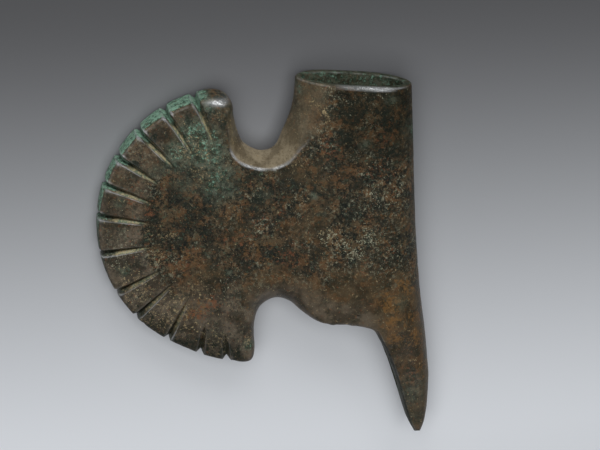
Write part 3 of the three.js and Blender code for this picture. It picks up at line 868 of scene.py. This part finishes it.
class Nodes:
    """One new material's node tree, its colour so far, and a method for each kind of sum and
    pattern. A value is a number, a colour or the socket that feeds it."""

    def __init__(self, name):
        self.material = bpy.data.materials.new(name)
        self.material.use_nodes = True
        self.tree = self.material.node_tree
        self.tree.nodes.clear()
        metres = self.add("ShaderNodeTexCoord").outputs["Object"]
        self.place = self.add("ShaderNodeMapping", {
            "Vector": metres, "Scale": (1 / MM, 1 / MM, 1 / MM),
        }).outputs["Vector"]

    def add(self, kind, inputs=None, **settings):
        """A new node with its settings and its inputs."""
        made = self.tree.nodes.new(kind)
        for key, value in settings.items():
            setattr(made, key, value)
        for key, value in (inputs or {}).items():
            if isinstance(value, bpy.types.NodeSocket):
                self.tree.links.new(value, made.inputs[key])
            else:
                made.inputs[key].default_value = value
        return made

    def calc(self, operation, a, b, c=0.0, clamp=False):
        """A sum on up to three values."""
        return self.add("ShaderNodeMath", {0: a, 1: b, 2: c}, operation=operation,
                        use_clamp=clamp).outputs[0]

    def times(self, a, b):
        """The product of two values."""
        return self.calc("MULTIPLY", a, b)

    def larger(self, a, b):
        """The larger of two values."""
        return self.calc("MAXIMUM", a, b)

    def plus(self, start, factor, value, clamp=False):
        """The start plus the factor times the value."""
        return self.calc("MULTIPLY_ADD", value, factor, start, clamp)

    def ease(self, value, low, high):
        """A smooth step of a value, from 0 at low to 1 at high."""
        return self.add("ShaderNodeMapRange", {
            "Value": value, "From Min": low, "From Max": high,
        }, interpolation_type="SMOOTHSTEP").outputs["Result"]

    def blend(self, share, under, over):
        """Under where share is 0 and over where it is 1."""
        under, over = (tone if isinstance(tone, bpy.types.NodeSocket) else (*tone, 1)
                       for tone in (under, over))
        return self.add("ShaderNodeMix", {"Factor": share, 6: under, 7: over},
                        data_type="RGBA").outputs[2]

    def grain(self, scale, seed, detail, roughness):
        """A noise of the given number of cells a millimetre; seed picks its pattern."""
        return self.add("ShaderNodeTexNoise", {
            "Vector": self.place, "W": seed, "Scale": scale, "Detail": detail,
            "Roughness": roughness,
        }, noise_dimensions="4D").outputs["Fac"]

    def patches(self, low, high, *pattern):
        """Soft patches: the grain of the given pattern, eased between two of its levels."""
        return self.ease(self.grain(*pattern), low, high)

    def cover(self, mask, softness, reach, start, *pattern):
        """Where a mask's corrosion lies: its share of the surface grows with the mask, and its
        outline follows the grain, because the sum of the two is cut off at one level."""
        return self.ease(self.plus(self.grain(*pattern), reach, mask), start, start + softness)

    def film(self, share, strength, tone):
        """Lays one tone over the colour so far, where share is, up to the strength."""
        self.colour = self.blend(self.times(share, strength), self.colour, tone)

    def finish(self, surface):
        """The material, with the colour and the surface's other values on its shader."""
        inputs = {"Base Color": self.colour, **surface}
        shader = self.add("ShaderNodeBsdfPrincipled", inputs).outputs["BSDF"]
        self.add("ShaderNodeOutputMaterial", {"Surface": shader})
        return self.material


def film_browns(nodes, cloudy, speckle, slate, green):
    """The film's browns: clouds of orange brown and green black, and slate brown in places. Over
    them, mostly where the skin is speckled, lie ruddy patches, murk, specks and black pits."""
    nodes.colour = nodes.blend(nodes.ease(cloudy, 0.44, 0.57), (0.016, 0.014, 0.007),
                               (0.074, 0.050, 0.024))
    slate_tone = nodes.blend(nodes.ease(cloudy, 0.40, 0.60), (0.043, 0.036, 0.027),
                             (0.142, 0.116, 0.086))
    nodes.film(slate, 1.0, slate_tone)
    nodes.film(nodes.plus(1.0, -1.0, speckle), 0.5, (0.054, 0.039, 0.023))
    ruddy = nodes.patches(0.505, 0.565, 0.24, 5.0, 6, 0.64)
    ruddy = nodes.times(ruddy, nodes.plus(0.55, 0.45, speckle))
    ruddy = nodes.plus(ruddy, -0.75, nodes.larger(slate, green), clamp=True)
    nodes.film(ruddy, 0.75, (0.108, 0.055, 0.021))
    murk = nodes.patches(0.505, 0.56, 0.30, 14.0, 6, 0.66)
    murky = nodes.larger(nodes.plus(0.22, 0.78, speckle), nodes.times(slate, 0.5))
    nodes.film(nodes.times(murk, murky), 0.85, (0.011, 0.014, 0.008))
    clusters = nodes.patches(0.44, 0.58, 0.11, 17.0, 4, 0.6)
    pale = nodes.times(nodes.patches(0.545, 0.59, 1.1, 15.0, 4, 0.75), clusters)
    for share, strength, tone in [
        (nodes.patches(0.57, 0.62, 1.0, 20.0, 4, 0.75), 0.8, (0.045, 0.085, 0.055)),
        (pale, 0.85, (0.25, 0.25, 0.175)),
        (nodes.patches(0.485, 0.445, 0.8, 18.0, 5, 0.72), 0.95, (0.003, 0.005, 0.003)),
    ]:
        nodes.film(nodes.times(share, speckle), strength, tone)


def bronze_patina():
    """Dark brown bronze with a satin film. Over its mottled browns lie, in this order, red and
    orange oxides, black film with painted shade on the spike's shaded wall, green corrosion,
    crust and painted light on the groove walls that face the light, tan crust and grey specks; a
    darker film marks dirt and painted shade, and rubbed ridges are brighter and smoother, with
    painted highlights on the bay's ridge, the knob's top and the mouth's near edge."""
    nodes = Nodes("patinated bronze")
    masks = []
    for name in ("corrosion", "oxide_and_shade", "wear_highlight_shade", "skin"):
        attribute = nodes.add("ShaderNodeAttribute", attribute_name=name).outputs["Color"]
        masks += nodes.add("ShaderNodeSeparateColor", {"Color": attribute}).outputs[:3]
    green, tan, grey, red, orange, dark, worn_and_highlight, dirt_and_shade, polished, speckle, lit_ledge_crust, slate = masks

    cloudy = nodes.grain(0.16, 2.0, 6, 0.58)
    fine = nodes.grain(1.0, 3.0, 4, 0.72)
    tiny = nodes.grain(2.6, 4.0, 2, 0.6)
    film_browns(nodes, cloudy, speckle, slate, green)

    rust = nodes.cover(red, 0.08, 0.14, 0.58, 0.8, 6.0, 5, 0.78)
    nodes.film(rust, 0.75, (0.150, 0.056, 0.023))
    amber = nodes.cover(orange, 0.12, 0.18, 0.57, 0.7, 7.0, 5, 0.78)
    nodes.film(amber, 0.7, (0.160, 0.082, 0.026))
    # Black film; where it covers the spike's wall that faces away from the light it is painted
    # shade.
    black = nodes.cover(dark, 0.08, 0.20, 0.60, 0.5, 8.0, 5, 0.78)
    nodes.film(black, 0.9, (0.009, 0.015, 0.010))

    green_film = nodes.blend(nodes.patches(0.43, 0.57, 0.55, 19.0, 5, 0.72),
                             (0.020, 0.027, 0.017), (0.096, 0.108, 0.076))
    nodes.film(nodes.ease(green, 0.05, 0.55), 0.8, green_film)
    paler = nodes.plus(nodes.grain(0.8, 9.0, 4, 0.75), 0.16, green)
    verdigris = nodes.cover(green, 0.08, 0.27, 0.65, 0.7, 10.0, 6, 0.82)
    green_tone = nodes.blend(nodes.ease(paler, 0.53, 0.71), (0.012, 0.040, 0.023),
                             (0.215, 0.370, 0.270))
    nodes.film(verdigris, 0.85, green_tone)
    # Crust on the groove walls that face the light, partly painted light.
    lit_crust_tone = nodes.blend(nodes.patches(0.44, 0.56, 0.9, 16.0, 4, 0.75),
                             (0.105, 0.145, 0.095), (0.36, 0.30, 0.17))
    nodes.film(nodes.times(lit_ledge_crust, nodes.ease(fine, 0.34, 0.46)), 0.9, lit_crust_tone)

    crust = nodes.cover(tan, 0.06, 0.14, 0.59, 1.2, 11.0, 4, 0.8)
    tan_tone = nodes.blend(nodes.ease(tiny, 0.42, 0.60), (0.13, 0.10, 0.058), (0.42, 0.33, 0.18))
    nodes.film(crust, 0.75, tan_tone)
    ash = nodes.cover(grey, 0.05, 0.19, 0.75, 2.3, 12.0, 1, 0.5)
    nodes.film(ash, 0.9, (0.30, 0.30, 0.21))

    # Darker film: dirt in concave places, and painted shade on the spike's shaded wall.
    nodes.film(dirt_and_shade, 0.45, (0.016, 0.014, 0.010))
    smooth_tan = nodes.blend(nodes.ease(cloudy, 0.38, 0.60), (0.115, 0.092, 0.058),
                             (0.215, 0.178, 0.118))
    grit = nodes.times(nodes.patches(0.50, 0.42, 1.4, 21.0, 4, 0.8), 0.55)
    smooth_tan = nodes.blend(grit, smooth_tan, (0.060, 0.046, 0.028))
    smooth = nodes.times(polished, nodes.ease(fine, 0.26, 0.38))
    smooth = nodes.plus(smooth, -0.9, nodes.larger(crust, verdigris), clamp=True)
    nodes.film(smooth, 0.92, smooth_tan)
    # Rubbed metal with painted highlights: pale blue-grey along the bay's ridge, on the knob's top,
    # on the mouth's near edge and on edges that face the light.
    bare_and_highlight = nodes.times(worn_and_highlight, nodes.plus(1.0, -0.5, verdigris))
    nodes.film(bare_and_highlight, 0.8, (0.44, 0.45, 0.45))

    rough = nodes.plus(0.36, 0.12, nodes.ease(cloudy, 0.35, 0.7))
    rough = nodes.plus(rough, 0.22, verdigris)
    rough = nodes.plus(rough, 0.28, nodes.larger(crust, ash))
    rough = nodes.plus(rough, -0.27, nodes.larger(bare_and_highlight, nodes.times(polished, 0.5)), clamp=True)

    height = nodes.plus(nodes.times(tiny, 0.35), 0.9, fine)
    for factor, layer in ((0.5, cloudy), (0.20, crust), (-0.15, black)):
        height = nodes.plus(height, factor, layer)
    bump = nodes.add("ShaderNodeBump", {
        "Height": height, "Strength": nodes.plus(0.20, 0.80, speckle), "Distance": 0.0008,
    })
    return nodes.finish({
        "Roughness": rough, "Metallic": nodes.plus(0.05, 0.45, bare_and_highlight),
        "Specular IOR Level": nodes.plus(nodes.plus(0.16, -0.12, dirt_and_shade), 0.50, bare_and_highlight),
        "Normal": bump.outputs["Normal"],
    })


# ---- Floor, lights and camera ----

FLOOR_REACH = 4.0
# Where the floor's painted shade begins and where it is fullest.
PALE_UNTIL, GREY_FROM = -70, 100  # how far forward, in millimetres


def floor_paper():
    """Matt paper, pale at the near end, with painted shade that darkens it towards the far end."""
    nodes = Nodes("studio paper")
    forward = nodes.add("ShaderNodeSeparateXYZ", {"Vector": nodes.place}).outputs["Y"]
    # Painted shade: the paper darkens towards the far end.
    painted_falloff = nodes.calc("POWER", nodes.ease(forward, PALE_UNTIL, GREY_FROM), 0.7)
    nodes.colour = nodes.blend(painted_falloff, (0.78, 0.80, 0.83), (0.095, 0.095, 0.098))
    return nodes.finish({"Roughness": 0.95, "Specular IOR Level": 0.1})


def lay_floor():
    """A wide flat floor under the head."""
    mesh = bpy.data.meshes.new("floor")
    corners = [(-1, -1), (1, -1), (1, 1), (-1, 1)]
    mesh.from_pydata([(FLOOR_REACH * x, FLOOR_REACH * y, 0) for x, y in corners],
                     [], [(0, 1, 2, 3)])
    mesh.materials.append(floor_paper())
    floor = add_object("floor", mesh)
    return floor


HEAD_MIDDLE = (0.0, 0.0, 0.01)
COOL_WHITE = (0.98, 0.99, 1.0)


def area_light(name, place, size, power, lit):
    """A soft light of the given size and power at a place, turned to the head, that lights one
    object alone."""
    lamp = bpy.data.lights.new(name, "AREA")
    lamp.shape = "RECTANGLE"
    lamp.size, lamp.size_y = size
    lamp.energy = power
    lamp.color = COOL_WHITE
    light = add_object(name, lamp)
    light.location = place
    light.rotation_euler = (Vector(HEAD_MIDDLE) - Vector(place)).to_track_quat("-Z", "Y").to_euler()
    receivers = bpy.data.collections.new(name + " receivers")
    receivers.objects.link(lit)
    light.light_linking.receiver_collection = receivers


VIEW_RISE = math.radians(17.0)
VIEW_YAW = math.radians(7.5)
VIEW_DISTANCE = 1000.0
VIEW_CENTRE = np.array([22.6, -2.21, 0.0])
LENS = 180.0


def set_camera(turn, shift):
    """A long lens square to the casting's middle but for a rise towards the mouth and a small
    yaw towards the fan."""
    towards = np.array([
        -math.sin(VIEW_YAW) * math.cos(VIEW_RISE), math.sin(VIEW_RISE),
        math.cos(VIEW_YAW) * math.cos(VIEW_RISE),
    ])
    right = np.array([math.cos(VIEW_YAW), 0, math.sin(VIEW_YAW)])
    up = np.cross(towards, right)
    axes = turn @ np.stack([right, up, towards], 1)
    place = turn @ (VIEW_CENTRE + towards * VIEW_DISTANCE) * MM + shift
    lens = bpy.data.cameras.new("camera")
    lens.lens = LENS
    lens.sensor_width = 36.0
    lens.clip_start = 0.05
    camera = add_object("camera", lens)
    camera.matrix_world = Matrix.Translation(place) @ Matrix(axes.tolist()).to_4x4()
    bpy.context.scene.camera = camera


axe_head, casting_turn, casting_shift = build_axe_head()
set_camera(casting_turn, casting_shift)
axe_head.data.materials.clear()
axe_head.data.materials.append(bronze_patina())
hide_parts("axe_head")
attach(axe_head, "root")

paper = lay_floor()
for name, place, size, power, lit in [
    ("key softbox", (0.0, 0.95, 0.80), (1.0, 0.42), 19.0, axe_head),
    ("left softbox", (-1.0, -0.2, 0.5), (0.5, 0.5), 3.4, axe_head),
    ("low softbox", (0.5, -1.0, 0.45), (0.9, 0.35), 5.5, axe_head),
    ("floor key", (0.0, 0.95, 0.80), (1.0, 0.42), 2.6, paper),
    ("floor softbox", (-0.2, 0.1, 1.2), (1.1, 1.1), 12.6, paper),
]:
    area_light(name, place, size, power, lit)

scene.view_settings.view_transform = "Standard"
scene.world = bpy.data.worlds.new("studio")
scene.world.use_nodes = True
sky = scene.world.node_tree.nodes["Background"].inputs
sky["Color"].default_value = (0.85, 0.9, 1.0, 1)
sky["Strength"].default_value = 0.06
